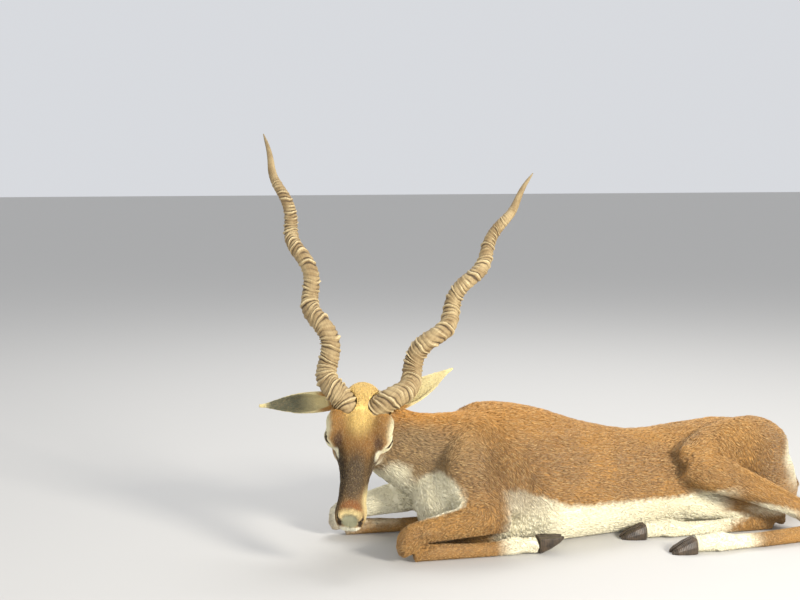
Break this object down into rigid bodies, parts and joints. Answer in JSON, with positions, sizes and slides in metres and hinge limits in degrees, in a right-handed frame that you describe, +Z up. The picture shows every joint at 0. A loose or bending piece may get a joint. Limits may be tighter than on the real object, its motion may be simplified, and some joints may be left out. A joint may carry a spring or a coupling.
{
  "type": "life-size blackbuck model, lying",
  "caption": "Life-size still model of an adult male blackbuck lying on its chest, legs folded, head turned to its left with long ringed spiral horns.",
  "frame": {"origin": "centre of the bounding box's base, on the floor that the animal lies on", "axes": "+X towards the rump, along the trunk; -Y to the animal's left, the side that its head turns to; +Z up"},
  "size_m": [1.0338, 0.449, 0.6751],
  "materials": {
    "coat": "short dense hair, matt with a soft sheen, tan above and white below",
    "horn": "dry ringed horn, matt, with dark grooves",
    "eye": "wet and glossy",
    "hoof": "dark horn, satin with faint growth lines"
  },
  "bodies": {
    "root": {"head": "coat", "neck": "coat", "torso": "coat", "hindquarters": "coat", "tail": "coat", "ear_l": "coat", "ear_r": "coat", "eye_l": "eye", "eye_r": "eye", "horn_l": "horn", "horn_r": "horn", "foreleg_l": "coat", "foreleg_l_cannon": "coat", "foreleg_l_hoof_a": "hoof", "foreleg_l_hoof_b": "hoof", "foreleg_r": "coat", "foreleg_r_cannon": "coat", "foreleg_r_hoof_a": "hoof", "foreleg_r_hoof_b": "hoof", "hindleg_l": "coat", "hindleg_l_cannon": "coat", "hindleg_l_hoof_a": "hoof", "hindleg_l_hoof_b": "hoof", "hindleg_r": "coat", "hindleg_r_cannon": "coat", "hindleg_r_hoof_a": "hoof", "hindleg_r_hoof_b": "hoof"}
  },
  "joints": []
}
